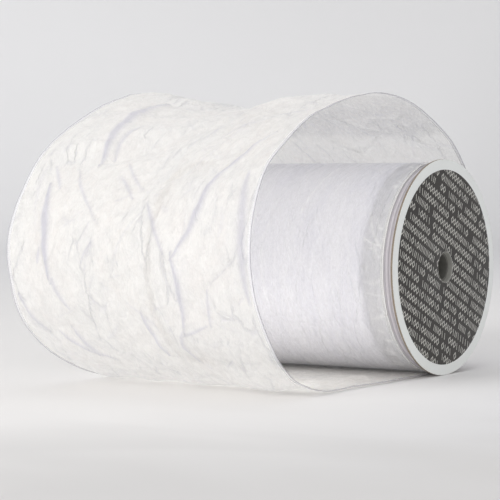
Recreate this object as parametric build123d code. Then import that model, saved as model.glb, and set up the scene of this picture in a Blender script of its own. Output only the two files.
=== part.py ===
# A card spool of wide crinkled organza ribbon, with one long loose turn pulled out into a loop.
# Millimetres. Origin: the middle of the spindle bore. +X runs along the bore towards the labelled
# right flange, -Y is the front, +Z is up. The flanges stand on a flat surface at Z = -flange_radius.
import os
from math import pi

from build123d import *

# Ribbon and spool
ribbon_width = 150.0
selvedge_width = 2.0
side_play = 8.0  # by which the room between the flange boards is wider than the ribbon
winding_gap = ribbon_width + side_play
flange_radius = 59.0
flange_lip = 1.85  # how far the flanges stand out past the full roll
core_outer_radius = 25.0
core_wall = 3.0
board_thickness = 1.2
facing_thickness = 0.12
facing_trim = 0.05  # the white facing is cut this much inside the board
label_thickness = 0.12
label_margin = 5.8  # white ring left showing round the label

# Plastic hub plugs
spindle_radius = 6.8
hub_opening_radius = 8.66  # round hole through board, facing and label
collar_wall = 0.45
collar_clearance = 0.06
bearing_wall = 2.2
bearing_length = 13.0
plug_face_depth = 2.6  # recess from the label down to the face round the bore
plug_web = 2.0
skirt_wall = 1.5
skirt_length = 12.0
skirt_clearance = 0.1

# What is wound on the core
ribbon_layer = 0.3  # one turn of crinkled ribbon
paper_layer = 0.15
paper_margin = 12.5  # ribbon left uncovered by the paper at each side
paper_width = ribbon_width - 2 * paper_margin
layer_gap = 0.05
side_clearance = 0.4  # between the wound turns and the flange boards
shoulder_drop = 1.6  # depth over which the top turns step in from the flanges
turn_offset = -1.65  # the last turn lies this far to the left of the middle
tape_margin = 5.0
tape_width = ribbon_width - 2 * tape_margin
tape_thickness = 0.1
tape_angle = 50.0

# The loose turn
loop_thickness = 0.8  # the ribbon with the height of its crinkles
floor_run = 100.0  # from under the bore to where the ribbon starts to rise
front_reach = 127.0  # in front of the roll
front_rise = 74.0  # height of the foremost line above the floor
crown_forward = 52.0  # the top line, in front of the bore
crown_rise = 34.6  # above the top of the flanges
back_gap = 1.6  # between the roll and the ribbon, where it comes down onto the roll behind
back_hug = 15.0  # degrees of the roll, below the height of the bore, that the ribbon then follows

floor_z = -flange_radius
roll_radius = flange_radius - flange_lip
board_inner_x = winding_gap / 2
board_outer_x = board_inner_x + board_thickness
facing_outer_x = board_outer_x + facing_thickness
label_outer_x = facing_outer_x + label_thickness
label_radius = flange_radius - label_margin
along_x = Plane.YZ  # sketches drawn in Y and Z, extruded along +X


def ring(outer, inner, x_from, x_to):
    """A flat ring or tube about the X axis."""
    face = Circle(outer) - Circle(inner)
    return extrude((along_x.offset(x_from)) * face, x_to - x_from)


def other_side(solid):
    return mirror(solid, Plane.YZ)


def revolved(points):
    """A solid of revolution about X from (x, radius) corners."""
    outline = Plane.XZ * make_face(Polyline(*points, close=True))
    return revolve(outline, Axis.X)


def core_tube():
    return ring(core_outer_radius, core_outer_radius - core_wall, -board_inner_x, board_inner_x)


def hub_plug():
    """Collar through the flange, recessed face round the bore, bearing sleeve, skirt inside the core."""
    collar_outer = hub_opening_radius - collar_clearance
    collar_inner = collar_outer - collar_wall
    collar_x = facing_outer_x
    recess_x = label_outer_x - plug_face_depth
    web_x = board_inner_x
    web_back_x = recess_x - plug_web
    skirt_outer = core_outer_radius - core_wall - skirt_clearance
    skirt_inner = skirt_outer - skirt_wall
    bearing_outer = spindle_radius + bearing_wall
    return revolved([
        (recess_x, spindle_radius),
        (recess_x, collar_inner),
        (collar_x, collar_inner),
        (collar_x, collar_outer),
        (web_x, collar_outer),
        (web_x, skirt_outer),
        (web_x - skirt_length, skirt_outer),
        (web_x - skirt_length, skirt_inner),
        (web_back_x, skirt_inner),
        (web_back_x, bearing_outer),
        (recess_x - bearing_length, bearing_outer),
        (recess_x - bearing_length, spindle_radius),
    ])


def flange_board():
    return ring(flange_radius, hub_opening_radius, board_inner_x, board_outer_x)


def flange_facing():
    return ring(flange_radius - facing_trim, hub_opening_radius, board_outer_x, facing_outer_x)


def label_disc():
    return ring(label_radius, hub_opening_radius, facing_outer_x, label_outer_x)


# Layers at the outside of the roll, from the last turn inwards
turn_inner_radius = roll_radius - ribbon_layer
paper_outer_radius = turn_inner_radius - layer_gap
paper_inner_radius = paper_outer_radius - paper_layer
pack_radius = paper_inner_radius - layer_gap
turn_right_x = ribbon_width / 2 + turn_offset
turn_left_x = turn_right_x - ribbon_width
pack_edge_x = board_inner_x - side_clearance
tape_radius = core_outer_radius + tape_thickness
pack_inner_radius = tape_radius + layer_gap


def wound_ribbon():
    """The turns below the last one. Their edges wander out to the flanges and step in at the top."""
    shoulder_radius = pack_radius - shoulder_drop
    return revolved([
        (-pack_edge_x, pack_inner_radius),
        (-pack_edge_x, shoulder_radius),
        (turn_left_x, pack_radius),
        (turn_right_x, pack_radius),
        (pack_edge_x, shoulder_radius),
        (pack_edge_x, pack_inner_radius),
    ])


def core_tape():
    """Adhesive tape round part of the core, which holds the ribbon's inner end."""
    band = ring(tape_radius, core_outer_radius, -tape_width / 2, tape_width / 2)
    reach = 2 * tape_radius
    half = tape_angle / 2
    tip = Vector(0, reach).rotate(Axis.Z, half), Vector(0, reach).rotate(Axis.Z, -half)
    sector = make_face(Polyline((0, 0), *tip, close=True))
    return band & extrude((along_x.offset(-tape_width)) * sector, 2 * tape_width)


def interleaf_paper():
    middle = (turn_left_x + turn_right_x) / 2
    return ring(paper_outer_radius, paper_inner_radius, middle - paper_width / 2, middle + paper_width / 2)


def last_turn():
    return ring(roll_radius, turn_inner_radius, turn_left_x + selvedge_width, turn_right_x - selvedge_width)


def turn_edge_right():
    return ring(roll_radius, turn_inner_radius, turn_right_x - selvedge_width, turn_right_x)


def turn_edge_left():
    return ring(roll_radius, turn_inner_radius, turn_left_x, turn_left_x + selvedge_width)


def loop_side(inset):
    """One face of the loose turn, as edges in (y, z) from under the roll, round the front and over the top
    to where it lies on the roll's back. inset moves it inwards. The edges share their tangents."""
    front_y = -(roll_radius + front_reach)
    back_radius = roll_radius + back_gap + loop_thickness - inset
    crown_z = flange_radius + crown_rise
    front_z = floor_z + front_rise
    low = floor_z + inset
    front_low = (-floor_run, front_z, -floor_run - front_y - inset, front_rise - inset, 180)
    front_high = (-crown_forward, front_z, -crown_forward - front_y - inset, crown_z - front_z - inset, 90)
    back_high = (-crown_forward, 0, crown_forward + back_radius, crown_z - inset, 0)
    quarters = [
        EllipticalCenterArc((y, z), y_half, z_half, start, arc_size=90)
        for y, z, y_half, z_half, start in (front_low, front_high, back_high)
    ]
    hug = CenterArc((0, 0), back_radius, -back_hug, back_hug)
    end = Vector(back_radius, 0).rotate(Axis.Z, -back_hug)
    return [Line((0, low), (-floor_run, low)), *quarters, hug], (0, low), end


def loop_band(x_from, x_to):
    outer, outer_start, outer_end = loop_side(0)
    inner, inner_start, inner_end = loop_side(loop_thickness)
    ends = [Line(outer_start, inner_start), Line(outer_end, inner_end)]
    face = make_face([*outer, *inner, *ends])
    return extrude((along_x.offset(x_from)) * face, x_to - x_from)


def ribbon_loop():
    return loop_band(turn_left_x + selvedge_width, turn_right_x - selvedge_width)


def loop_edge_right():
    return loop_band(turn_right_x - selvedge_width, turn_right_x)


def loop_edge_left():
    return loop_band(turn_left_x, turn_left_x + selvedge_width)


nodes = {
    "core_tube": core_tube(),
    "core_tape": core_tape(),
    "hub_plug_right": hub_plug(),
    "hub_plug_left": other_side(hub_plug()),
    "flange_board_right": flange_board(),
    "flange_board_left": other_side(flange_board()),
    "flange_facing_right": flange_facing(),
    "flange_facing_left": other_side(flange_facing()),
    "label_disc_right": label_disc(),
    "label_disc_left": other_side(label_disc()),
    "wound_ribbon": wound_ribbon(),
    "interleaf_paper": interleaf_paper(),
    "last_turn": last_turn(),
    "turn_edge_right": turn_edge_right(),
    "turn_edge_left": turn_edge_left(),
    "ribbon_loop": ribbon_loop(),
    "loop_edge_right": loop_edge_right(),
    "loop_edge_left": loop_edge_left(),
}

os.makedirs("parts", exist_ok=True)
for name, shape in nodes.items():
    export_step(shape, f"parts/{name}.step")
    print(name, round(shape.volume), "mm3")

loop_length = ribbon_loop().volume / loop_thickness / (ribbon_width - 2 * selvedge_width)
print("loose turn length", round(loop_length), "mm, one turn of the roll", round(2 * pi * roll_radius), "mm")
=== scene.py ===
import math

import bpy
import numpy as np
from mathutils import Matrix, Vector


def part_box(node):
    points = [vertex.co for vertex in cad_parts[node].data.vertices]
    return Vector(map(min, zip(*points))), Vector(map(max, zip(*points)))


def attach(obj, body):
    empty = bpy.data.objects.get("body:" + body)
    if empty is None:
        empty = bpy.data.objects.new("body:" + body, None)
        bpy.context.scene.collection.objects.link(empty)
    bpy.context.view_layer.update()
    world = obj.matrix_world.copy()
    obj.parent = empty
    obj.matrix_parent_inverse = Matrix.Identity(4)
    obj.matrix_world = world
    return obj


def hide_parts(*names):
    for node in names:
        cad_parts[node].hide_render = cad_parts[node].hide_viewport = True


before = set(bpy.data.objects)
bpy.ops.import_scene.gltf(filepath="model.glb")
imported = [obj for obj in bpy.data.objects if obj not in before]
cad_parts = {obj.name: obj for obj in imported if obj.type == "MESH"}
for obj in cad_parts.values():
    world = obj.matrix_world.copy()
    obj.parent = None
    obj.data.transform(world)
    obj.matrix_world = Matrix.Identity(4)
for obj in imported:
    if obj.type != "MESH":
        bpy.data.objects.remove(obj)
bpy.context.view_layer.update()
print("frame loaded:", len(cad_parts), "nodes")

mm = 0.001


def boxMm(node):  # the lowest and highest corner of a CAD node, in millimetres
    low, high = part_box(node)
    return np.array(low) / mm, np.array(high) / mm


# the few sizes that everything is worked out from, read from the frame
loopLow, loopHigh = boxMm("ribbon_loop")
leftEdgeLow = boxMm("loop_edge_left")[0]
rightEdgeLow, rightEdgeHigh = boxMm("loop_edge_right")
boardLow, boardHigh = boxMm("flange_board_right")
facingHigh = boxMm("flange_facing_right")[1]
labelHigh = boxMm("label_disc_right")[1]
plugHigh = boxMm("hub_plug_right")[1]
turnHigh = boxMm("last_turn")[1]
paperLow, paperHigh = boxMm("interleaf_paper")
packLow, packHigh = boxMm("wound_ribbon")
coreLow, coreHigh = boxMm("core_tube")
tapeHigh = boxMm("core_tape")[1]

floorZ = loopLow[2]
flangeRadius = boardHigh[2]
rollRadius = turnHigh[2]
ribbonLeft, ribbonRight = leftEdgeLow[0], rightEdgeHigh[0]
ribbonWidth = ribbonRight - ribbonLeft
selvedge = rightEdgeHigh[0] - rightEdgeLow[0]


# camera
camera = dict(
    fromFlange=(526.9, -1003.7, 58.9),  # from the middle of the right flange's outer face, in mm
    forward=(-0.5455, 0.8370, -0.0430),
    roll=-0.5126,  # degrees
    lens=149.07,
    sensor=36.0,
)


def makeCamera(spec):
    place = Vector((labelHigh[0], 0, 0)) + Vector(spec["fromFlange"])
    forward = Vector(spec["forward"]).normalized()
    right = forward.cross(Vector((0, 0, 1))).normalized()
    up = right.cross(forward)
    roll = math.radians(spec["roll"])
    turnedRight = right * math.cos(roll) + up * math.sin(roll)
    turnedUp = up * math.cos(roll) - right * math.sin(roll)
    data = bpy.data.cameras.new("camera")
    data.lens = spec["lens"]
    data.sensor_width = spec["sensor"]
    data.clip_end = 20
    made = bpy.data.objects.new("camera", data)
    bpy.context.scene.collection.objects.link(made)
    axes = Matrix((turnedRight, turnedUp, -forward)).transposed().to_4x4()
    made.matrix_world = Matrix.Translation(place * mm) @ axes
    bpy.context.scene.camera = made
    return right, forward


viewRight, viewForward = makeCamera(camera)
print("camera made")


# materials: a wrapped socket does arithmetic, and one method adds every other node
class Socket:
    def __init__(self, shader, out):
        self.shader = shader
        self.out = out

    def math(self, operation, *others):
        values = dict(enumerate((self, *others)))
        return self.shader.node("ShaderNodeMath", {"operation": operation}, values)

    def __add__(self, other):
        return self.math("ADD", other)

    def __sub__(self, other):
        return self.math("SUBTRACT", other)

    def __mul__(self, other):
        return self.math("MULTIPLY", other)

    def __truediv__(self, other):
        return self.math("DIVIDE", other)

    def __pow__(self, other):
        return self.math("POWER", other)

    def __rsub__(self, other):
        return self.shader.node("ShaderNodeMath", {"operation": "SUBTRACT"}, {0: other, 1: self})

    def __lt__(self, other):
        return self.math("LESS_THAN", other)

    def __gt__(self, other):
        return self.math("GREATER_THAN", other)

    def __abs__(self):
        return self.math("ABSOLUTE")

    __radd__ = __add__
    __rmul__ = __mul__


class Shader:
    def __init__(self, name, fixed):
        self.material = bpy.data.materials.new(name)
        self.material.use_nodes = True
        self.tree = self.material.node_tree
        self.surface = self.tree.nodes["Principled BSDF"]
        for socket, value in fixed.items():
            self.surface.inputs[socket].default_value = value

    def node(self, kind, settings, values, output=0):
        made = self.tree.nodes.new(kind)
        for key, value in settings.items():
            setattr(made, key, value)
        for key, value in values.items():
            if isinstance(value, Socket):
                self.tree.links.new(value.out, made.inputs[key])
            else:
                made.inputs[key].default_value = value
        return Socket(self, made.outputs[output])

    def place(self):
        return self.node("ShaderNodeTexCoord", {}, {}, "Object")

    def cloth(self):  # metres along and across the cloth
        return self.node("ShaderNodeUVMap", {"uv_map": "cloth"}, {})

    def shown(self):
        return Socket(self, self.surface.outputs[0])

    def part(self, vector, axis):
        return self.node("ShaderNodeSeparateXYZ", {}, {0: vector}, axis)

    def join(self, x, y):
        return self.node("ShaderNodeCombineXYZ", {}, {0: x, 1: y})

    def vector(self, operation, *values):
        return self.node("ShaderNodeVectorMath", {"operation": operation}, dict(enumerate(values)))

    def cells(self, vector, scale, feature="F1", output=0):
        values = {"Vector": vector, "Scale": scale}
        return self.node("ShaderNodeTexVoronoi", {"feature": feature}, values, output)

    def fromAxis(self, place):  # distance from the spool's axis
        return (self.part(place, "Y") ** 2 + self.part(place, "Z") ** 2) ** 0.5

    def noise(self, vector, scale, detail=3.0, roughness=0.55, distortion=0.0):
        values = {"Vector": vector, "Scale": scale, "Detail": detail}
        values.update({"Roughness": roughness, "Distortion": distortion})
        return self.node("ShaderNodeTexNoise", {}, values)

    def stretched(self, vector, scale, turn=0.0):
        values = {"Vector": vector, "Rotation": (0, 0, turn), "Scale": scale}
        return self.node("ShaderNodeMapping", {}, values)

    def between(self, value, low, high, toLow=0.0, toHigh=1.0):  # a smooth ramp, held at its ends
        values = {"Value": value, "From Min": low, "From Max": high, "To Min": toLow, "To Max": toHigh}
        return self.node("ShaderNodeMapRange", {"interpolation_type": "SMOOTHSTEP"}, values)

    def mix(self, factor, first, second):
        values = {0: factor, 6: first if isinstance(first, Socket) else (*first, 1)}
        values[7] = second if isinstance(second, Socket) else (*second, 1)
        return self.node("ShaderNodeMix", {"data_type": "RGBA"}, values, 2)

    def bump(self, height, distance, strength=1.0, normal=None):
        values = {"Height": height, "Distance": distance, "Strength": strength}
        if normal:
            values["Normal"] = normal
        return self.node("ShaderNodeBump", {}, values)

    def feed(self, **links):
        names = {"color": "Base Color", "roughness": "Roughness", "alpha": "Alpha", "normal": "Normal"}
        for key, value in links.items():
            self.tree.links.new(value.out, self.surface.inputs[names[key]])
        return self.material


def organzaMaterial(name, look):
    # sheer crushed cloth: small facets catch the light, random spots carry painted glints, folds and
    # creases go lilac with painted shade, raised folds carry a painted highlight, the loop's back
    # carries painted shade, and light comes through it
    fixed = {"Sheen Weight": look["sheen"], "Sheen Roughness": 0.35, "Specular IOR Level": 0.6}
    cloth = Shader(name, fixed)
    flat = cloth.cloth()
    moved = cloth.vector("ADD", flat, (look["seed"], 0.3, 0))
    slant = cloth.stretched(moved, (look["along"], 1.6, 1), look["slant"])
    broad = cloth.noise(slant, 24, 3, 0.6, 0.8)
    middle = cloth.noise(slant, 95, 4, 0.65, 1.2)
    patches = cloth.noise(slant, 52, 2, 0.5, 1.6)
    facets = cloth.cells(cloth.stretched(moved, (1, 1.8, 1), 0.6), 230.0)
    fine = cloth.noise(cloth.stretched(moved, (1, 2.4, 1), -0.5), 620, 3, 0.62, 0.8)
    bent = cloth.vector("MULTIPLY_ADD", middle, (0.006, 0.006, 0), moved)
    splinters = cloth.stretched(bent, (1, 2.6, 1), look["slant"])
    spark = cloth.part(cloth.cells(splinters, look["splinters"], output="Color"), 0)
    paintedFoldShading = cloth.node("ShaderNodeAttribute", {"attribute_name": "paintedFoldShading"}, {}, "Fac")
    pearl = cloth.between(middle, 0.4, 0.62)
    cream = cloth.mix(cloth.between(broad, 0.38, 0.62), look["warm"], look["cool"])
    # partly random pearly tone, partly painted glints: spots pushed towards the bright glint colour
    pearlAndGlintShare = pearl * 0.3 + spark * 0.4 + cloth.between(patches, 0.44, 0.58) * 0.35
    net = cloth.stretched(bent, (0.45, 1.6, 1), look["slant"] + 0.25)
    fromCrease = cloth.cells(net, 70.0, "DISTANCE_TO_EDGE")
    # the crease net gives bump and painted shade along the creases
    creases = cloth.between(fromCrease, 0.0, 0.06, 1.0, 0.0) * cloth.between(broad, 0.5, 0.62)
    clothWithGlints = cloth.mix(pearlAndGlintShare, cream, look["glint"])
    along = cloth.part(flat, "X") / mm
    # painted shade over the loop's back, where it is seen from inside; less light passes through it
    # there too
    paintedBackShade = cloth.between(along, *look["backShadeFrom"]) * cloth.between(along, *look["backShadeTo"], 1.0, 0.0)
    withBackShade = cloth.mix(paintedBackShade * (0.95 - spark * 0.5), clothWithGlints, look["backShadeColour"])
    # painted shade in folds and creases; a painted highlight where the fold mark is under 0, which also
    # makes the cloth denser
    dark = (paintedFoldShading + creases * look["creaseShade"]).math("MAXIMUM", 0.0)
    paintedHighlight = (0 - paintedFoldShading).math("MAXIMUM", 0.0)
    colour = cloth.mix(paintedHighlight, cloth.mix(dark * look["foldShadeStrength"], withBackShade, look["paintedFoldShading"]), look["foldHighlightColour"])
    height = facets * 0.4 + fine * 0.3 + middle * 0.5 + spark * 0.15 - creases * 0.5
    normal = cloth.bump(height, look["crinkle"], 0.8)
    rough = 0.5 - cloth.between(fine, 0.5, 0.7) * 0.2 + middle * 0.1
    alpha = cloth.between(middle * 0.6 + fine * 0.4, 0.34, 0.64, *look["cover"]) + paintedHighlight * 0.3
    cloth.feed(color=colour, roughness=rough, alpha=alpha, normal=normal)
    passed = {"Color": (*look["through"], 1), "Normal": normal}
    through = cloth.node("ShaderNodeBsdfTranslucent", {}, passed)
    share = look["passing"] - paintedBackShade * 0.4
    both = cloth.node("ShaderNodeMixShader", {}, {0: share, 1: cloth.shown(), 2: through})
    cloth.tree.links.new(both.out, cloth.tree.nodes["Material Output"].inputs["Surface"])
    return cloth.material


def selvedgeMaterial(name, look):
    # a twisted bead along the free edge, and a woven band that is sheer like the cloth
    thread = Shader(name, {"Sheen Weight": 0.2, "Specular IOR Level": 0.55})
    flat = thread.cloth()
    along = thread.part(flat, "X")
    wraps = abs((along * 2900).math("SINE"))
    fuzz = thread.noise(flat, 900, 3)
    inward = thread.part(flat, "Y")
    band = thread.mix(thread.between(wraps, 0.1, 0.6), [c * 0.9 for c in look["band"]], look["band"])
    share = thread.between(inward, look["bead"] * 0.6 * mm, look["bead"] * 1.2 * mm)
    colour = thread.mix(share, look["beadColour"], band)
    normal = thread.bump(wraps * 0.7 + fuzz * 0.3, 0.0003, 0.6)
    alpha = share * (1 - look["sheer"] - look["beadCover"]) + look["beadCover"]
    return thread.feed(color=colour, roughness=0.42 + fuzz * 0.2, normal=normal, alpha=alpha)


def woundMaterial():
    # the stacked edges of the lower turns: fine lilac-grey lines round the roll, painted shade of the
    # recess by the flanges, with darker lines of painted shade between the turns' edges
    stack = Shader("woundEdges", {"Specular IOR Level": 0.5, "Sheen Weight": 0.15})
    place = stack.place()
    across = stack.part(place, "X")
    radius = stack.fromAxis(place)
    drift = stack.noise(place, 22, 2)
    lines = (across * 5200 + radius * 6200 + drift * 9.0).math("SINE") * 0.5 + 0.5
    fibre = stack.noise(place, 700, 3)
    # painted shade: the edges' lilac-grey and the dark lines between them, and a paler painted shade
    # grey on the top under the last turn
    dark = stack.mix(lines * 0.75 + fibre * 0.25, (0.42, 0.395, 0.43), (0.78, 0.75, 0.79))
    pale = stack.mix(fibre, (0.58, 0.58, 0.59), (0.7, 0.7, 0.71))
    middle = (ribbonLeft + ribbonRight) / 2 * mm
    fromMiddle = abs(across - middle) / mm - ribbonWidth / 2
    colour = stack.mix(stack.between(fromMiddle, -0.5, 0.8), pale, dark)
    normal = stack.bump(lines * 0.7 + fibre * 0.3, 0.0006, 0.6)
    return stack.feed(color=colour, roughness=0.5 + fibre * 0.2, normal=normal)


def interleafMaterial():
    sheet = Shader("interleafPaper", {"Specular IOR Level": 0.4})
    flat = sheet.cloth()
    fibre = sheet.noise(sheet.stretched(flat, (1, 2.2, 1)), 800, 4)
    cloud = sheet.noise(flat, 45, 3)
    colour = sheet.mix(cloud, (0.85, 0.85, 0.885), (0.9, 0.9, 0.925))
    normal = sheet.bump(fibre * 0.4 + cloud * 0.6, 0.0005, 0.4)
    return sheet.feed(color=colour, roughness=0.55 + fibre * 0.15, normal=normal)


def boardMaterial(name, light, dark):
    # greyboard: recycled pulp with darker specks and layered fibres
    board = Shader(name, {"Specular IOR Level": 0.25})
    place = board.place()
    pulp = board.noise(place, 900, 5, 0.65)
    specks = board.noise(place, 2400, 2)
    layers = board.noise(board.stretched(place, (9, 1, 1)), 600, 3)
    colour = board.mix(pulp, dark, light)
    speckled = board.mix(board.between(specks, 0.62, 0.72), colour, [c * 0.55 for c in dark])
    normal = board.bump(pulp * 0.5 + layers * 0.5, 0.0004, 0.8)
    return board.feed(color=speckled, roughness=0.85 + pulp * 0.1, normal=normal)


def facingMaterial():
    fixed = {"Specular IOR Level": 0.4, "Coat Weight": 0.08, "Coat Roughness": 0.35}
    facing = Shader("flangeFacing", fixed)
    place = facing.place()
    cloud = facing.noise(place, 60, 3)
    fibre = facing.noise(place, 1400, 4)
    radius = facing.fromAxis(place)
    atEdge = facing.between(radius, (flangeRadius - 1.2) * mm, flangeRadius * mm)
    worn = atEdge * facing.between(fibre, 0.45, 0.7)
    white = facing.mix(cloud, (0.86, 0.88, 0.86), (0.9, 0.92, 0.895))
    colour = facing.mix(worn * 0.5, white, (0.56, 0.51, 0.44))
    normal = facing.bump(fibre * 0.6 + cloud * 0.4, 0.0003, 0.35)
    return facing.feed(color=colour, roughness=0.42 + fibre * 0.12, normal=normal)


labelPrint = dict(
    slope=25.0,  # degrees the rows fall towards the back
    rowPitch=5.6,
    markPitch=3.15,
    markHeight=1.8,  # half of it
    lineWidth=0.25,
    gaps=0.1,  # share of the places left empty
)


def labelMaterial(name, spec):
    # dark disc with slanting rows of open lozenges and ticks, each place chosen by chance
    label = Shader(name, {"Specular IOR Level": 0.45, "Coat Weight": 0.1, "Coat Roughness": 0.3})
    place = label.place()
    turn = math.radians(spec["slope"])
    back = label.part(place, "Y") / mm
    high = label.part(place, "Z") / mm
    alongRow = back * math.cos(turn) - high * math.sin(turn) + 200
    acrossRow = back * math.sin(turn) + high * math.cos(turn) + 200
    rowPlace = acrossRow / spec["rowPitch"]
    row = rowPlace.math("FLOOR")
    shift = label.node("ShaderNodeTexWhiteNoise", {"noise_dimensions": "1D"}, {"W": row})
    cellPlace = alongRow / spec["markPitch"] + shift * 7
    cell = cellPlace.math("FLOOR")
    cellAndRow = {"Vector": label.join(cell, row)}
    chance = label.node("ShaderNodeTexWhiteNoise", {"noise_dimensions": "2D"}, cellAndRow)
    across = (cellPlace - cell - 0.5) * spec["markPitch"]
    up = (rowPlace - row - 0.5) * spec["rowPitch"]
    lozenge = abs(abs(across) / 1.3 + abs(up) / spec["markHeight"] - 1) < spec["lineWidth"]
    lean = (chance - 0.5) * 0.9
    tick = (abs(across - up * lean) < spec["lineWidth"]) * (abs(up) < spec["markHeight"])
    pair = (abs(abs(across) - 0.85) < spec["lineWidth"]) * (abs(up) < spec["markHeight"])
    isLozenge = chance > 0.52
    isPair = (chance > 0.28) * (1 - isLozenge)
    isTick = (chance > spec["gaps"]) * (1 - isLozenge) * (1 - isPair)
    marks = lozenge * isLozenge + pair * isPair + tick * isTick
    ink = label.noise(place, 1800, 3)
    soft = marks.math("MINIMUM", 1.0) * label.between(ink, 0.25, 0.5, 0.7, 1.0)
    dark = label.mix(ink, (0.022, 0.019, 0.016), (0.038, 0.033, 0.028))
    colour = label.mix(soft, dark, (0.62, 0.61, 0.56))
    normal = label.bump(ink, 0.0002, 0.3)
    return label.feed(color=colour, roughness=0.5 - soft * 0.08, normal=normal)


def hubMaterial():
    hub = Shader("hubPlastic", {"Specular IOR Level": 0.5})
    place = hub.place()
    grain = hub.noise(place, 1500, 3)
    cloud = hub.noise(place, 240, 3)
    ring = hub.between(hub.fromAxis(place) / mm, 8.0, 8.15)  # painted shade: the recess and the bore inside the collar are darker than the collar
    colour = hub.mix(ring * 0.75 + cloud * 0.25, (0.11, 0.107, 0.095), (0.36, 0.355, 0.325))
    return hub.feed(color=colour, roughness=0.42 + grain * 0.2, normal=hub.bump(grain, 0.0002, 0.4))


def tapeMaterial():
    tape = Shader("coreTape", {"Specular IOR Level": 0.6, "Coat Weight": 0.4, "Coat Roughness": 0.12})
    place = tape.place()
    ripple = tape.noise(tape.stretched(place, (1, 6, 6)), 160, 3)
    colour = tape.mix(ripple, (0.66, 0.56, 0.36), (0.76, 0.68, 0.48))
    return tape.feed(color=colour, roughness=0.2 + ripple * 0.15, normal=tape.bump(ripple, 0.0003, 0.4))


looseLook = dict(
    slant=0.75,
    along=1.0,
    warm=(0.975, 0.93, 0.88),
    cool=(0.96, 0.955, 0.925),
    # the colour of painted glints in random spots
    glint=(1.0, 0.99, 0.95),
    # the colour and strength of painted shade in folds and creases
    paintedFoldShading=(0.5, 0.495, 0.62),
    through=(0.97, 0.965, 0.955),
    foldShadeStrength=1.25,
    foldHighlightColour=(1.0, 1.0, 1.0),  # painted highlight of raised folds
    cover=(0.6, 0.88),
    passing=0.55,
    # how much painted shade the crease net adds
    creaseShade=0.3,
    crinkle=0.0013,
    sheen=0.3,
    seed=0.0,
    splinters=330.0,
    backShadeColour=(0.74, 0.74, 0.755),  # painted shade where the loop's back is seen from inside
    backShadeFrom=(345.0, 420.0),  # mm along the cloth
    backShadeTo=(442.0, 458.0),
)
rolledLook = dict(
    looseLook,
    slant=0.1,
    along=0.4,
    warm=(0.93, 0.925, 0.955),
    cool=(0.85, 0.85, 0.91),
    # painted glints and painted fold shade, milder than on the loose turn
    glint=(0.96, 0.96, 0.985),
    paintedFoldShading=(0.73, 0.73, 0.81),
    foldShadeStrength=0.6,
    cover=(0.5, 0.75),
    passing=0.3,
    creaseShade=0.0,
    crinkle=0.0006,
    sheen=0.15,
    seed=3.0,
    splinters=260.0,
    backShadeFrom=(4000.0, 5000.0),  # past the end of the cloth, so nowhere
)
loopCloth = organzaMaterial("looseOrganza", looseLook)
turnCloth = organzaMaterial("rolledOrganza", rolledLook)
looseRim = dict(
    bead=0.5,  # mm in from the free edge, where its colour gives way to the band's
    # painted shade: the loose edge's grey bead and slightly grey band, where the same edge on the roll
    # is near white
    beadColour=(0.47, 0.47, 0.51),
    band=(0.84, 0.84, 0.86),
    sheer=0.6,  # how clear the band is
    beadCover=0.5,  # how dense the bead is
)
rolledRim = dict(
    bead=0.6,
    beadColour=(0.93, 0.93, 0.92),
    band=(0.95, 0.95, 0.95),
    sheer=0.6,
    beadCover=0.9,
)
looseEdge = selvedgeMaterial("looseSelvedge", looseRim)
turnEdge = selvedgeMaterial("rolledSelvedge", rolledRim)
woundCloth = woundMaterial()
interleaf = interleafMaterial()
greyboard = boardMaterial("greyboard", (0.34, 0.29, 0.235), (0.22, 0.18, 0.14))
coreCard = boardMaterial("coreCard", (0.5, 0.38, 0.26), (0.36, 0.27, 0.18))
facingPaper = facingMaterial()
labelRight = labelMaterial("labelPrint", labelPrint)
hubPlastic = hubMaterial()
clearTape = tapeMaterial()
print("materials made")


# meshes
def gridPiece(
    name, points, material, body, aroundU=False, aroundV=False, cloth=None, flip=False, paintedFoldShading=None
):
    # points is a grid, (rows, columns, 3); cloth gives each point's place on the flat cloth; both in mm
    rows, columns = points.shape[:2]
    index = np.arange(rows * columns).reshape(rows, columns)
    i = np.arange(rows if aroundU else rows - 1)
    j = np.arange(columns if aroundV else columns - 1)
    a = index[i][:, j]
    b = index[(i + 1) % rows][:, j]
    c = index[(i + 1) % rows][:, (j + 1) % columns]
    d = index[i][:, (j + 1) % columns]
    quads = np.stack([a, d, c, b] if flip else [a, b, c, d], axis=-1).reshape(-1, 4)
    mesh = bpy.data.meshes.new(name)
    mesh.vertices.add(rows * columns)
    mesh.vertices.foreach_set("co", (points * mm).astype(np.float32).ravel())
    mesh.loops.add(quads.size)
    mesh.loops.foreach_set("vertex_index", quads.astype(np.int32).ravel())
    mesh.polygons.add(len(quads))
    mesh.polygons.foreach_set("loop_start", np.arange(0, quads.size, 4, dtype=np.int32))
    mesh.update(calc_edges=True)
    mesh.polygons.foreach_set("use_smooth", np.ones(len(quads), bool))
    if cloth is not None:
        uv = mesh.uv_layers.new(name="cloth")
        flat = (cloth.reshape(-1, 2) * mm)[quads.ravel()]
        uv.data.foreach_set("uv", flat.astype(np.float32).ravel())
    # each point's painted fold shade (over 0) or painted highlight (under 0), read by the cloth
    # materials
    if paintedFoldShading is not None:
        marks = mesh.attributes.new("paintedFoldShading", "FLOAT", "POINT")
        marks.data.foreach_set("value", paintedFoldShading.astype(np.float32).ravel())
    mesh.validate()
    mesh.materials.append(material)
    piece = bpy.data.objects.new(name, mesh)
    bpy.context.scene.collection.objects.link(piece)
    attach(piece, body)
    return piece


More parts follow.
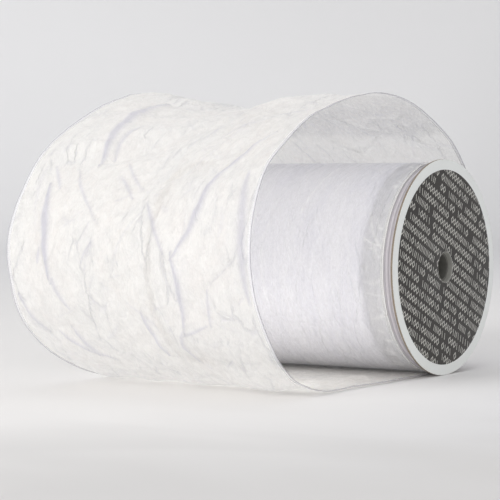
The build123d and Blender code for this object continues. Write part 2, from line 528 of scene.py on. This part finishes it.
def lathe(name, profile, material, around=288, wobble=None, side=1):
    # a closed outline of (x, radius) carried round the X axis; wobble moves its points a little
    outline = np.array(profile, float)
    angle = np.linspace(0, 2 * np.pi, around, endpoint=False)[:, None]
    x = np.broadcast_to(outline[None, :, 0], (around, len(outline)))
    r = np.broadcast_to(outline[None, :, 1], (around, len(outline)))
    if wobble:
        x, r = wobble(angle, x, r)
    points = np.stack([x * side, -r * np.sin(angle), r * np.cos(angle)], axis=-1)
    nextX, nextR = np.roll(outline, -1, axis=0).T
    turned = (outline[:, 0] * nextR - nextX * outline[:, 1]).sum() > 0
    length = np.concatenate([[0], np.cumsum(np.hypot(*np.diff(outline, axis=0).T))])
    cloth = np.stack(np.broadcast_arrays(angle * rollRadius, length[None, :]), axis=-1)
    return gridPiece(name, points, material, "spool", True, True, cloth, flip=turned != (side < 0))


def rounded(corners, radius, steps=3):
    # each corner becomes a short quadratic curve that starts and ends a radius away from it
    made = []
    count = len(corners)
    for k in range(count):
        before, here, after = (np.array(corners[(k + d) % count], float) for d in (-1, 0, 1))
        reach = min(radius, *(np.linalg.norm(q - here) * 0.45 for q in (before, after)))
        start = here + (before - here) / np.linalg.norm(before - here) * reach
        end = here + (after - here) / np.linalg.norm(after - here) * reach
        for t in np.linspace(0, 1, steps + 1):
            made.append((1 - t) ** 2 * start + 2 * t * (1 - t) * here + t**2 * end)
    return made


def smoothPath(x, knots, values):
    # a smooth curve through a few values: cubic pieces whose slopes are the neighbours' mean slope
    knots, values = np.array(knots, float), np.array(values, float)
    slopes = np.gradient(values, knots)
    i = np.clip(np.searchsorted(knots, x) - 1, 0, len(knots) - 2)
    span = knots[i + 1] - knots[i]
    t = (x - knots[i]) / span
    return (
        (2 * t**3 - 3 * t**2 + 1) * values[i]
        + (t**3 - 2 * t**2 + t) * span * slopes[i]
        + (3 * t**2 - 2 * t**3) * values[i + 1]
        + (t**3 - t**2) * span * slopes[i + 1]
    )


def smoothstep(value, low, high):
    t = np.clip((value - low) / (high - low), 0, 1)
    return t * t * (3 - 2 * t)


# crushed cloth
def facets(along, across, size, stretch, turn, seed):
    # flat triangles between random heights on a lattice that is turned, stretched and bent a little
    own = np.random.default_rng(seed)
    c, s = math.cos(turn), math.sin(turn)
    a, b = along / size, across / size
    bentAlong = along + size * (0.5 * np.sin(b * 0.9 + seed) + 0.2 * np.sin(b * 2.3))
    bentAcross = across + size * (0.5 * np.sin(a * 0.8 + 2 * seed) + 0.2 * np.sin(a * 2.1))
    u = (bentAlong * c + bentAcross * s) / (size * stretch)
    v = (bentAcross * c - bentAlong * s) / size + 0.5 * u
    heights = own.random((64, 64)) - 0.5
    i, j = np.floor(u).astype(int), np.floor(v).astype(int)
    fu, fv = u - i, v - j
    low, right = heights[i % 64, j % 64], heights[(i + 1) % 64, j % 64]
    up, far = heights[i % 64, (j + 1) % 64], heights[(i + 1) % 64, (j + 1) % 64]
    first = low + fu * (right - low) + fv * (far - right)
    second = low + fv * (up - low) + fu * (far - up)
    return np.where(fu > fv, first, second)


def foldShare(along, across, path, width):
    # 1 on the line of a fold, falling off to its sides over a width that tapers to nothing at its ends
    knots = np.linspace(0, 1, len(path))
    t = np.linspace(0, 1, 36 * len(path))
    curve = smoothPath if len(path) > 2 else np.interp
    lineU, lineV = (curve(t, knots, [p[k] for p in path]) for k in (0, 1))
    reach = 4 * width
    near = (along > lineU.min() - reach) & (along < lineU.max() + reach)
    near &= (across > lineV.min() - reach) & (across < lineV.max() + reach)
    away = (along[near][:, None] - lineU) ** 2 + (across[near][:, None] - lineV) ** 2
    taper = width * np.sqrt(np.sin(np.pi * (0.03 + 0.94 * t))) ** 1.5
    share = np.zeros(along.shape)
    share[near] = np.exp(-away / taper**2).max(1)
    return share


def foldsTogether(along, across, folds):
    # the folds' heights added up, and the painted shade (over 0) or painted highlight (under 0) of the
    # strongest of them
    height, mark = np.zeros(along.shape), np.zeros(along.shape)
    for path, width, rise, paintedShading in folds:
        share = foldShare(along, across, path, width)
        height += share * rise
        line = share**2 * paintedShading
        mark = np.where(np.abs(line) > np.abs(mark), line, mark)
    return height, mark


def chanceFolds(seed, count, length, width, lean, spread, long, rise, paintedShading):
    # short straight folds scattered by chance, most of them leaning one way
    own = np.random.default_rng(seed)
    made = []
    for _ in range(count):
        u, v = own.random() * length, width * (0.06 + 0.88 * own.random())
        turn = own.normal(lean, spread)
        reach = long * (0.4 + own.exponential(0.8))
        end = (u + reach * math.cos(turn), v + reach * math.sin(turn))
        offU, offV = own.normal(0, reach * 0.08), own.normal(0, reach * 0.08)
        bend = ((u + end[0]) / 2 + offU, (v + end[1]) / 2 + offV)
        size = own.choice([-1, 1]) * rise * (0.4 + own.random())
        made.append(([(u, v), bend, end], 0.7 + own.random() ** 2 * 1.8, size, paintedShading * own.random()))
    return made


# the loose turn
loop = dict(
    floorRun=100.0,  # from under the bore to where it starts to rise
    frontRise=74.0,
    crownForward=52.0,
    hug=15.0,  # degrees of the roll's back that it follows, below the bore's height
    fullness=(1.1, 1.1, 0.98),  # from left to right; over 1 flattens the upper front of the loop
    lift=0.45,  # the sheet's middle above the floor
    tailLift=0.75,  # the end of the sheet off the roll
    floorGap=0.25,  # the crushed cloth comes no closer to the floor
    floorEase=2.0,  # and is eased up from this much above that
    rollGap=0.6,  # it comes no closer to the roll
    calmStart=(8, 45),  # mm from the lower end over which the relief sets in
    calmEnd=(12, 90),  # and from the upper end
    calmRims=(9, 20),  # and from the left and the right rim
    rows=620,
    columns=150,
)
frontY, backY, crownZ = loopLow[1], loopHigh[1], loopHigh[2]


def loopShape(across):
    # how the section changes over the ribbon's width; 0 is the left edge, 1 the right one
    share = (across - ribbonLeft) / ribbonWidth
    crownAt = [0, 0.05, 0.12, 0.19, 0.33, 0.45, 0.65, 0.83, 1]
    crown = crownZ + smoothPath(share, crownAt, [3.4, 3.5, 1.0, 0.6, -5.0, -5.3, -3.0, -3.2, -0.4])
    front = frontY + smoothPath(share, [0, 0.25, 0.55, 0.8, 1], [0.8, 2.6, 3.4, 2.0, 0.3])
    run = loop["floorRun"] + smoothPath(share, [0, 0.3, 0.6, 1], [-18, 0, 4, 2])
    back = backY - smoothPath(share, [0, 0.3, 0.7, 1], [0.0, 0.5, 0.3, 0.1])
    top = -loop["crownForward"] - smoothPath(share, [0, 0.5, 0.8, 1], [0, 0, 2.5, 7])
    full = smoothPath(share, [0, 0.5, 1], loop["fullness"])
    return crown, front, run, back, top, full


def loopPhase():
    # where along the nominal section each share of its length falls, from 0 to 5
    phase = np.linspace(0, 5, 4001)
    middle = np.full(phase.shape, (ribbonLeft + ribbonRight) / 2)
    y, z = loopSection(phase, middle)
    length = np.concatenate([[0], np.cumsum(np.hypot(np.diff(y), np.diff(z)))])
    return length, phase


def loopSection(phase, across):
    # a flat run, then three quarter ellipses with shared tangents: front low, front high and back,
    # then an arc that follows the back of the roll and closes in on it
    crown, front, run, back, top, full = loopShape(across)
    low = floorZ + loop["lift"]
    frontZ = floorZ + loop["frontRise"]
    angle = (phase - np.floor(np.minimum(phase, 4.9999))) * np.pi / 2
    sine, cosine = np.sin(angle), np.cos(angle)
    hug = (phase - 4) * math.radians(loop["hug"])
    near = back - (back - rollRadius - loop["tailLift"]) * smoothstep(phase, 4, 5)
    places = [phase < 1, phase < 2, phase < 3, phase < 4]
    upperY = top + (front - top) * np.abs(cosine) ** full
    lowerY = -run + (front + run) * sine
    overY = top + (back - top) * sine
    y = np.select(places, [-run * phase, lowerY, upperY, overY], near * np.cos(hug))
    upperZ = frontZ + (crown - frontZ) * np.abs(sine) ** full
    lowerZ = low + (frontZ - low) * (1 - cosine)
    z = np.select(places, [low + 0 * phase, lowerZ, upperZ, crown * cosine], -near * np.sin(hug))
    return y, z


phaseLength, phaseOf = loopPhase()
loopLength = phaseLength[-1]
print("loose turn, mm:", round(loopLength))

# the chief folds, in mm along and across the cloth: the line, its half width, its rise and its painted
# darkness (painted shade over 0, painted highlight under 0)
chiefFolds = [
    ([(272, 38), (315, 34), (354, 30)], 3.4, -1.6, 0.95),
    ([(280, 42), (296, 41), (312, 44)], 1.6, 0.8, 0.6),
    ([(258, 15), (235, 21), (205, 27)], 3.0, -1.8, 1.0),
    ([(208, 28), (200, 30), (190, 36)], 2.0, -0.8, 0.6),
    ([(268, 28), (255, 37), (235, 56)], 1.1, -0.9, 0.7),
    ([(268, 54), (260, 62), (250, 71)], 1.2, -0.8, 0.7),
    ([(280, 52), (268, 62), (256, 74)], 1.2, -0.8, 0.6),
    ([(248, 81), (236, 89), (220, 100)], 1.7, -1.0, 0.7),
    ([(246, 74), (275, 100), (325, 112)], 0.9, 1.1, 0.35),
    ([(218, 104), (235, 116), (260, 122), (300, 136)], 2.6, -1.3, 0.8),
    ([(222, 104), (205, 107), (180, 103)], 2.2, -1.2, 0.8),
    ([(204, 121), (211, 130), (220, 142)], 0.8, 1.0, 0.3),
    ([(192, 78), (178, 80), (160, 84)], 2.0, -1.4, 0.8),
    ([(180, 30), (168, 33), (156, 37)], 1.6, -1.1, 0.7),
    ([(204, 122), (193, 121), (182, 119)], 1.3, -0.8, 0.6),
    ([(178, 99), (181, 108), (185, 118)], 1.2, -0.7, 0.6),
    ([(182, 102), (170, 97), (156, 101)], 1.8, -1.0, 0.7),
    ([(268, 14), (262, 18), (254, 23)], 1.5, -0.6, 0.6),
    ([(224, 20), (219, 19), (214, 18)], 1.6, -0.5, 0.6),
    ([(214, 47), (220, 50), (227, 55)], 1.0, -0.6, 0.6),
    ([(200, 4), (188, 9), (174, 15)], 1.6, -1.0, 0.7),
    ([(192, 3), (180, 8), (166, 16)], 1.4, 1.0, 0.3),
    ([(176, 20), (166, 28), (150, 44)], 1.8, -1.0, 0.7),
    ([(262, 140), (230, 144), (196, 146)], 3.6, -0.8, 0.65),
    ([(300, 100), (322, 118), (340, 138)], 3.0, -1.0, 0.5),
    ([(444, 58), (446, 70), (457, 80), (466, 90)], 0.9, 1.3, -0.9),
    ([(466, 90), (460, 98), (450, 107)], 0.8, 1.0, -0.8),
    ([(420, 92), (434, 97), (446, 124)], 0.9, 0.9, -0.8),
    ([(454, 131), (460, 137), (470, 143)], 1.0, 1.0, -0.9),
    ([(425, 110), (428, 120), (430, 134)], 1.5, 0.8, -0.6),
    ([(464, 38), (468, 60), (471, 92)], 4.5, 0.5, -0.5),
    ([(458, 46), (466, 50), (474, 56)], 1.0, -1.0, 0.7),
    ([(458, 62), (466, 66), (474, 68)], 0.9, -0.9, 0.6),
    ([(462, 78), (468, 80), (476, 84)], 0.9, -0.9, 0.6),
]
# small chance folds: seed, count, room along and across, lean, spread, length, rise and painted darkness
# (painted shade over 0, painted highlight under 0)
chiefFolds += chanceFolds(7, 120, loopLength, ribbonWidth, 0.75, 0.55, 16, 0.45, 0.3)
chiefFolds += chanceFolds(8, 90, loopLength, ribbonWidth, -0.4, 0.5, 9, 0.35, 0.35)


# the crushed surface, coarse to fine: rise and facet size in mm, stretch, turn in radians, seed
crushLayers = (
    (5.0, 27, 1.9, 0.7, 3),
    (2.9, 12.5, 1.7, 0.9, 5),
    (1.35, 5.8, 1.5, 0.3, 8),
    (0.5, 2.9, 1.4, -0.5, 12),
)


def loopRelief(along, across):
    # how far the crushed cloth stands off its smooth shape, in mm, and the painted shade or painted
    # highlight of its folds
    v = across - ribbonLeft
    broad = np.sin(along / 31 + v / 23 + 1.2 * np.sin(v / 37)) + 0.8 * np.sin(along / 19 - v / 29 + 2)
    crushed = sum(rise * facets(along, v, *layer) for rise, *layer in crushLayers)
    height, mark = foldsTogether(along, v, chiefFolds)
    return broad + crushed + height, mark


def loopPoints(along, across):
    # the smooth section moved along its outward normal by the relief, never into the floor or the roll
    phase = np.interp(along, phaseLength, phaseOf)
    y, z = loopSection(phase, across)
    step = 0.02
    yBefore, zBefore = loopSection(np.clip(phase - step, 0, 5), across)
    yAfter, zAfter = loopSection(np.clip(phase + step, 0, 5), across)
    dy, dz = yAfter - yBefore, zAfter - zBefore
    size = np.hypot(dy, dz)
    outY, outZ = dz / size, -dy / size
    towardsEnd = 0.1 + 0.9 * smoothstep(loopLength - along, *loop["calmEnd"])
    calm = smoothstep(along, *loop["calmStart"]) * towardsEnd
    leftRim, rightRim = loop["calmRims"]
    rimCalm = 0.4 + 0.6 * smoothstep(across - ribbonLeft, 0, leftRim)
    rimCalm *= 0.25 + 0.75 * smoothstep(ribbonRight - across, 0, rightRim)
    relief, mark = loopRelief(along, across)
    relief *= calm * rimCalm
    y, z = y + outY * relief, z + outZ * relief
    resting, ease = floorZ + loop["floorGap"], loop["floorEase"]
    eased = resting + ease * np.exp(np.minimum((z - resting) / ease - 1, 0))
    z = np.where(z < resting + ease, eased, z)
    push = np.maximum((rollRadius + loop["rollGap"]) / np.hypot(y, z), 1)
    y, z = y * push, z * push
    waver = 0.7 * np.sin(along / 23) + 0.4 * np.sin(along / 9 + 1)
    x = across + waver * (2 * (across - ribbonLeft) / ribbonWidth - 1) * calm
    return np.stack([x, y, z], axis=-1), mark


def makeLoop():
    along, across = np.meshgrid(
        np.linspace(0, loopLength, loop["rows"]),
        np.linspace(ribbonLeft + selvedge * 0.8, ribbonRight - selvedge * 0.8, loop["columns"]),
        indexing="ij",
    )
    points, mark = loopPoints(along, across)
    cloth = np.stack([along, across - ribbonLeft], axis=-1)
    body, slot = "loose_ribbon", "organza"
    piece = gridPiece("ribbonLoop", points, loopCloth, body, cloth=cloth, flip=True, paintedFoldShading=mark)
    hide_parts("ribbon_loop")
    return piece


rim = dict(bead=0.26, band=0.1)  # mm: the bead's radius and half of the band's thickness


def selvedgeBand(name, line, inward, normal, cloth, body, material):
    # a flat band with a round bead along its free edge, carried along a line of points
    bead, thin = rim["bead"], rim["band"]
    angle = np.linspace(-2.5, 2.5, 9)
    beadIn, beadUp = bead - bead * np.cos(angle), bead * np.sin(angle)
    flatIn = np.array([selvedge * 0.9, selvedge, selvedge, selvedge * 0.9])
    flatUp = np.array([thin, thin * 0.6, -thin * 0.6, -thin])
    sectionIn, sectionUp = np.concatenate([beadIn, flatIn]), np.concatenate([beadUp, flatUp])
    points = line[:, None] + inward[:, None] * sectionIn[:, None] + normal[:, None] * sectionUp[:, None]
    flat = np.stack(np.broadcast_arrays(cloth[:, None], sectionIn[None, :]), axis=-1)
    return gridPiece(name, points, material, body, aroundV=True, cloth=flat)


def makeLoopEdges():
    made = []
    along = np.linspace(0, loopLength, 900)
    for side, edge, sign in (("Right", ribbonRight, -1), ("Left", ribbonLeft, 1)):
        line, _ = loopPoints(along, np.full(along.shape, edge))
        inner, _ = loopPoints(along, np.full(along.shape, edge + sign * selvedge))
        inward = inner - line
        inward /= np.linalg.norm(inward, axis=1)[:, None]
        forward = np.gradient(line, axis=0)
        normal = np.cross(forward, inward) * sign
        normal /= np.linalg.norm(normal, axis=1)[:, None]
        piece = selvedgeBand("loopEdge" + side, line, inward, normal, along, "loose_ribbon", looseEdge)
        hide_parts("loop_edge_" + side.lower())
        made.append(piece)
    return made


ribbonLoop = makeLoop()
loopEdges = makeLoopEdges()
(ribbonWidth - 2 * selvedge) * mm
print("loose turn made")


# the roll
roll = dict(
    rows=460,
    columns=124,
    besidePaper=0.3,  # the cloth lies that much lower beside the paper
    abovePack=0.25,  # and never closer than this to the turns below
    belowFlange=0.6,  # or to the height of the flanges' rims
)
rollLength = 2 * math.pi * rollRadius
# folds on the last turn: their marks are painted shade over 0 and painted highlight under 0
rollFolds = [
    ([(16, 101), (36, 98), (60, 94)], 1.3, 0.14, -0.8),
    ([(62, 76), (84, 74), (118, 78)], 2.6, 0.1, -0.5),
    ([(70, 116), (96, 117), (126, 113)], 1.6, -0.1, 0.6),
    ([(96, 66), (120, 70), (138, 82)], 1.2, -0.1, 0.4),
]
overall = chanceFolds(11, 30, rollLength, ribbonWidth, 0.5, 0.5, 22, 0.12, 0.6)
# painted highlights: bright streaks on the sunken cloth beside the paper
besidePaper = chanceFolds(12, 90, rollLength, 14, 0.9, 0.5, 8, 0.3, -1.0)
for folds, start in ((overall, 0), (besidePaper, ribbonWidth - 15)):
    for path, *rest in folds:
        rollFolds.append(([(u - rollLength / 2, v + start) for u, v in path], *rest))


def rollPoints(angle, across):
    # a cylinder whose cloth lies smooth over the paper and sinks and crinkles beside it
    v = across - ribbonLeft
    along = angle * rollRadius
    paperMiddle, paperHalf = (paperLow[0] + paperHigh[0]) / 2, (paperHigh[0] - paperLow[0]) / 2
    beside = smoothstep(np.abs(across - paperMiddle), paperHalf - 1, paperHalf + 2)
    wave = 0.16 * np.sin(3 * angle + v / 26) + 0.1 * np.sin(7 * angle - v / 15 + 1)
    seamless = (rollRadius * np.sin(angle) + 90, v + rollRadius * np.cos(angle) + 90)
    fine = facets(*seamless, 11, 1.8, 0.5, 17) + 0.5 * facets(*seamless, 5, 1.6, 0.9, 18)
    height, mark = foldsTogether(along, v, rollFolds)
    relief = wave * 0.6 + fine * (0.2 + 0.8 * beside) + height * (0.4 + 0.6 * beside)
    relief -= roll["besidePaper"] * beside
    lowest = packHigh[2] + roll["abovePack"] - rollRadius
    highest = flangeRadius - rollRadius - roll["belowFlange"]
    relief = np.where(relief < 0, lowest * np.tanh(relief / lowest), highest * np.tanh(relief / highest))
    r = rollRadius + relief
    return np.stack([across + 0 * r, -r * np.sin(angle), r * np.cos(angle)], axis=-1), mark


def makeLastTurn():
    angle, across = np.meshgrid(
        np.linspace(-np.pi, np.pi, roll["rows"], endpoint=False),
        np.linspace(ribbonLeft + selvedge * 0.8, ribbonRight - selvedge * 0.8, roll["columns"]),
        indexing="ij",
    )
    cloth = np.stack([angle * rollRadius, across - ribbonLeft], axis=-1)
    points, mark = rollPoints(angle, across)
    piece = gridPiece("lastTurn", points, turnCloth, "spool", True, cloth=cloth, paintedFoldShading=mark)
    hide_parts("last_turn")
    flat = ((ribbonWidth - 2 * selvedge) * mm, rollLength * mm)


def makeTurnEdges():
    angle = np.linspace(-np.pi, np.pi, 721)
    around = angle * rollRadius
    for side, edge, sign in (("Right", ribbonRight, -1), ("Left", ribbonLeft, 1)):
        drift = 0.5 * np.sin(angle + 0.6) + 0.25 * np.sin(2 * angle + 2)
        line, _ = rollPoints(angle, np.full(angle.shape, edge))
        line[:, 0] += drift
        inward = np.tile([float(sign), 0, 0], (len(angle), 1))
        normal = np.stack([0 * angle, -np.sin(angle), np.cos(angle)], axis=-1)
        piece = selvedgeBand("turnEdge" + side, line, inward, normal, around, "spool", turnEdge)
        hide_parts("turn_edge_" + side.lower())


makeLastTurn()
makeTurnEdges()

wound = dict(
    drop=1.6,  # by which the shoulders step down towards the flanges
    overTape=0.1,
    turnPitch=0.62,  # from one turn's edge to the next, across a shoulder
    ridge=0.07,
)


def woundWobble(angle, x, r):
    # stacked turn edges: ridges that step down towards the flange and wander a little round the roll
    right = x > 0
    edge = np.where(right, ribbonRight, ribbonLeft)
    out = np.clip(np.abs(x) - np.abs(edge), 0, 9)
    drift = 0.35 * np.sin(angle + 0.9) + 0.2 * np.sin(3 * angle) + 0.12 * np.sin(5 * angle + 1)
    steps = np.sin((out + drift) / wound["turnPitch"] * 2 * np.pi)
    onShoulder = smoothstep(out, 0.1, 0.8) * (r > packHigh[2] - 2.5)
    return x, r + wound["ridge"] * steps * onShoulder


def makeWound():
    # the outline runs down each shoulder in small steps, then down the flat side to the core
    shoulder = np.linspace(0, 1, 44)
    top, drop = packHigh[2], wound["drop"]
    inner = tapeHigh[2] + wound["overTape"]
    right = [(ribbonRight + (packHigh[0] - ribbonRight) * t, top - drop * t) for t in shoulder]
    left = [(ribbonLeft + (packLow[0] - ribbonLeft) * t, top - drop * t) for t in shoulder[::-1]]
    side = np.linspace(top - drop - 0.6, inner, 24)
    profile = right + [(packHigh[0], r) for r in side] + [(packLow[0], r) for r in side[::-1]] + left
    profile += [(ribbonLeft * t, top) for t in (0.66, 0.33)]
    profile += [(ribbonRight * t, top) for t in (0.0, 0.33, 0.66)]
    piece = lathe("woundRibbon", profile, woundCloth, 360, woundWobble)
    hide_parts("wound_ribbon")


paperThickness = 0.15


def makePaper():
    outer, inner = paperHigh[2], paperHigh[2] - paperThickness
    span = np.linspace(paperLow[0], paperHigh[0], 30)
    profile = [(x, outer) for x in span] + [(x, inner) for x in span[::-1]]

    def cockle(angle, x, r):
        wandering = x + 0.4 * np.sin(2 * angle) + 0.3 * np.sin(7 * angle + 1)
        return wandering, r + 0.05 * np.sin(9 * angle + x / 12)

    piece = lathe("interleafPaper", profile, interleaf, 240, cockle)
    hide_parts("interleaf_paper")


makeWound()
makePaper()
print("roll made")


# flanges, labels, hubs, core
hub = dict(
    hole=8.66,
    bore=6.8,
    clearance=0.06,
    collar=0.45,
    bearingWall=2.2,
    bearing=13.0,
    faceDepth=2.6,
    web=2.0,
    skirtWall=1.5,
    skirt=12.0,
)


def makeFlange(side, name):
    boardIn, boardOut, facingOut, labelOut = boardLow[0], boardHigh[0], facingHigh[0], labelHigh[0]
    hole = hub["hole"]

    def roughEdge(angle, x, r):  # the die-cut edge isn't a perfect circle
        return x, r + np.where(r > flangeRadius - 1, 0.025 * np.sin(5 * angle) - 0.03, 0)

    def disc(inside, outside, radius, softness):
        corners = [(inside, hole), (inside, radius), (outside, radius), (outside, hole)]
        return rounded(corners, softness)

    board = disc(boardIn, boardOut, flangeRadius, 0.3)
    facing = disc(boardOut, facingOut, facingHigh[2], 0.05)
    label = disc(facingOut, labelOut, labelHigh[2], 0.05)
    pieces = [
        ("flangeBoard" + name, board, greyboard, "greyboard", "flange_board_", roughEdge),
        ("flangeFacing" + name, facing, facingPaper, "white_facing", "flange_facing_", None),
        ("labelDisc" + name, label, labelRight, "printed_label", "label_disc_", None),
    ]
    for title, profile, material, slot, node, wobble in pieces:
        made = lathe(title, profile, material, 360, wobble, side)
        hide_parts(node + name.lower())


def makeHub(side, name):
    webX, collarX = boardLow[0], facingHigh[0]
    collarOuter = hub["hole"] - hub["clearance"]
    collarInner = collarOuter - hub["collar"]
    recess = labelHigh[0] - hub["faceDepth"]
    skirtOuter = plugHigh[2]
    skirtInner = skirtOuter - hub["skirtWall"]
    bearing = hub["bore"] + hub["bearingWall"]
    profile = rounded(
        [
            (recess, hub["bore"]),
            (recess, collarInner),
            (collarX, collarInner),
            (collarX, collarOuter),
            (webX, collarOuter),
            (webX, skirtOuter),
            (webX - hub["skirt"], skirtOuter),
            (webX - hub["skirt"], skirtInner),
            (recess - hub["web"], skirtInner),
            (recess - hub["web"], bearing),
            (recess - hub["bearing"], bearing),
            (recess - hub["bearing"], hub["bore"]),
        ],
        0.18,
    )
    piece = lathe("hubPlug" + name, profile, hubPlastic, 160, side=side)
    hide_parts("hub_plug_" + name.lower())


coreWall = 3.0


def makeCore():
    left, right, outer = coreLow[0], coreHigh[0], coreHigh[2]
    inner = outer - coreWall
    profile = rounded([(left, inner), (left, outer), (right, outer), (right, inner)], 0.3)
    piece = lathe("coreTube", profile, coreCard, 160)
    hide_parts("core_tube")


for side, name in ((1, "Right"), (-1, "Left")):
    makeFlange(side, name)
    makeHub(side, name)
makeCore()
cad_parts["core_tape"].data.materials.clear()
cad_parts["core_tape"].data.materials.append(clearTape)
print("flanges made")


# floor, backdrop, light
def backdropMaterial(floorColour, shadeColour, wallColour):
    # one cloth, whose tone falls off behind the object as painted shade, with a painted shadow to the
    # object's right, painted shade on the floor towards the front and painted light low on the left of
    # the wall
    plain = Shader("backdropCloth", {"Specular IOR Level": 0.15})
    place = plain.place()
    cloud = plain.noise(place, 3.0, 2)
    away = plain.part(place, "X") * viewForward[0] + plain.part(place, "Y") * viewForward[1]
    side = plain.part(place, "X") * viewRight[0] + plain.part(place, "Y") * viewRight[1]
    soft = plain.noise(plain.stretched(place, (1, 2.4, 1), 0.9), 5.0, 2, 0.4, 0.6)
    # painted shadow of the object on the floor to its right
    near = plain.mix(plain.between(side - away * 0.35, 0.02, 0.22), floorColour, shadeColour)
    # painted shade on the floor towards the front, its edge shaped like soft cloth folds
    paintedFrontShade = plain.between(away + (soft - 0.5) * 0.22, -0.46, -0.16)
    front = plain.mix(paintedFrontShade, [c * 0.79 for c in floorColour], near)
    high = plain.part(place, "Z")
    # painted light: the wall lighter low and to the left
    paintedWallLight = plain.between(high + side * 0.6, -0.05, 0.5)
    wall = plain.mix(paintedWallLight, [c * 1.07 for c in wallColour], wallColour)
    # painted shadow of the object low on the wall to the right
    wall = plain.mix(plain.between(side - high * 0.8, 0.06, 0.42), wall, [c * 0.93 for c in wallColour])
    # painted shade: the wall part darker than the floor behind the object
    tone = plain.mix(plain.between(away, 0.15, 1.4), front, wall)
    return plain.feed(color=tone, roughness=cloud * 0.1 + 0.8)


backdrop = dict(
    reach=14.0,  # metres to the front and to each side
    behind=1.6,  # to where it starts to rise
    bend=0.5,
    height=2.5,
    floor=(0.81, 0.8, 0.79),
    # painted shadow colour, and a wall tone darker than the floor as painted shade
    shade=(0.72, 0.72, 0.73),
    wall=(0.75, 0.75, 0.755),
)


def makeStage():
    # a floor that bends up into a wall, square to the camera's view
    reach, behind, bend = backdrop["reach"], backdrop["behind"], backdrop["bend"]
    t = np.linspace(0, np.pi / 2, 24)
    forward = np.concatenate([[-reach], behind + bend * np.sin(t), [behind + bend]])
    up = np.concatenate([[0], bend - bend * np.cos(t), [backdrop["height"]]])
    flatForward = np.array([viewForward[0], viewForward[1]]) / np.hypot(viewForward[0], viewForward[1])
    sideways = np.array([flatForward[1], -flatForward[0]])
    across = np.array([-reach, reach])
    xy = forward[:, None, None] * flatForward + across[None, :, None] * sideways
    z = np.broadcast_to(up[:, None, None] + floorZ * mm, (*xy.shape[:2], 1))
    points = np.concatenate([xy, z], axis=-1)
    mesh = bpy.data.meshes.new("backdrop")
    rows = len(forward)
    quads = [(2 * i, 2 * i + 2, 2 * i + 3, 2 * i + 1) for i in range(rows - 1)]
    mesh.from_pydata(points.reshape(-1, 3).tolist(), [], quads)
    mesh.polygons.foreach_set("use_smooth", np.ones(len(quads), bool))
    mesh.materials.append(backdropMaterial(backdrop["floor"], backdrop["shade"], backdrop["wall"]))
    stage = bpy.data.objects.new("backdrop", mesh)
    bpy.context.scene.collection.objects.link(stage)


softLights = dict(
    key=dict(right=-1.53, up=0.68, near=1.71, size=1.26, power=35.5, colour=(1.0, 0.985, 0.96)),
    top=dict(right=0.1, up=1.3, near=-0.1, size=1.2, power=2.2, colour=(1.0, 1.0, 1.0)),
)
broadLight = dict(right=-0.12, up=0.12, near=1.0, strength=0.34, spread=50.0, colour=(1.0, 0.99, 0.975))
bounce = dict(  # fills the shade under the roll's front
    width=0.13,
    height=0.034,
    inFront=44.0,  # mm from the roll, and above the floor
    above=25.0,
    aim=(0, 1, -0.55),
    power=0.013,
)
studio = dict(colour=(0.98, 0.98, 1.0), strength=0.72)


def aimed(name, data, spec, target):
    # a light set off from the target: to the camera's right, up, and towards the camera
    flatForward = Vector((viewForward[0], viewForward[1], 0)).normalized()
    data.color = spec["colour"]
    made = bpy.data.objects.new(name, data)
    made.visible_camera = False
    bpy.context.scene.collection.objects.link(made)
    place = target + viewRight * spec["right"] + Vector((0, 0, spec["up"])) - flatForward * spec["near"]
    turn = (target - place).to_track_quat("-Z", "Y")
    made.matrix_world = Matrix.Translation(place) @ turn.to_matrix().to_4x4()


def makeLights():
    target = Vector((0, -0.03, 0))
    for name, spec in softLights.items():
        data = bpy.data.lights.new(name, "AREA")
        data.shape = "DISK"
        data.size = spec["size"]
        data.energy = spec["power"]
        aimed(name, data, spec, target)
    broad = bpy.data.lights.new("broad", "SUN")
    broad.energy = broadLight["strength"]
    broad.angle = math.radians(broadLight["spread"])
    aimed("broad", broad, broadLight, target)
    fill = bpy.data.lights.new("bounce", "AREA")
    fill.shape = "RECTANGLE"
    fill.size, fill.size_y = bounce["width"], bounce["height"]
    fill.energy = bounce["power"]
    held = bpy.data.objects.new("bounce", fill)
    held.visible_camera = False
    bpy.context.scene.collection.objects.link(held)
    middle = (ribbonLeft + ribbonRight) / 2
    place = Vector((middle, -rollRadius - bounce["inFront"], floorZ + bounce["above"]))
    turn = Vector(bounce["aim"]).to_track_quat("-Z", "Y")
    held.matrix_world = Matrix.Translation(place * mm) @ turn.to_matrix().to_4x4()
    world = bpy.data.worlds.new("studio")
    world.use_nodes = True
    world.node_tree.nodes["Background"].inputs["Color"].default_value = (*studio["colour"], 1)
    world.node_tree.nodes["Background"].inputs["Strength"].default_value = studio["strength"]
    bpy.context.scene.world = world
    bpy.context.scene.view_settings.view_transform = "Standard"
    bpy.context.scene.cycles.diffuse_bounces = 12  # light goes to and fro inside the sheer loop


makeStage()
makeLights()
print("stage and light made")
